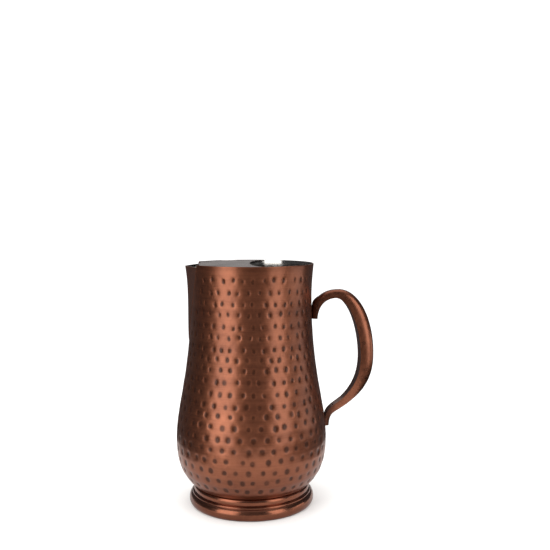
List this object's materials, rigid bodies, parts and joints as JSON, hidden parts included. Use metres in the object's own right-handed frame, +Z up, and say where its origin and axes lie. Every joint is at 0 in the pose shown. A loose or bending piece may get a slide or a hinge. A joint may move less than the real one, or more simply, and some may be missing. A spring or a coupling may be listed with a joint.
{
  "type": "water pitcher",
  "caption": "Hammered copper water pitcher with a flared foot ring, folded spout panel, flat ice guard in the mouth and a hollow ear-shaped handle.",
  "frame": {"origin": "middle of the footprint of the whole object, on the surface it stands on; the body's own axis is at x = -0.02115", "axes": "+Z up, +X towards the handle, -X towards the spout"},
  "size_m": [0.1738, 0.1316, 0.21],
  "materials": {
    "hammered_copper": "antique copper plate over stainless steel, hammered outside, plain steel inside",
    "smooth_copper": "antique copper plate, smooth brushed",
    "polished_copper": "antique copper plate, smooth and shiny",
    "handle_copper": "antique copper plate, satin",
    "strip_copper": "antique copper plate, dark satin",
    "brushed_steel": "brushed stainless steel"
  },
  "bodies": {
    "root": {"body": "hammered_copper", "spout": "smooth_copper", "ice_guard": "brushed_steel", "foot_ring": "polished_copper", "handle_shell": "handle_copper", "handle_strip": "strip_copper"}
  },
  "joints": []
}
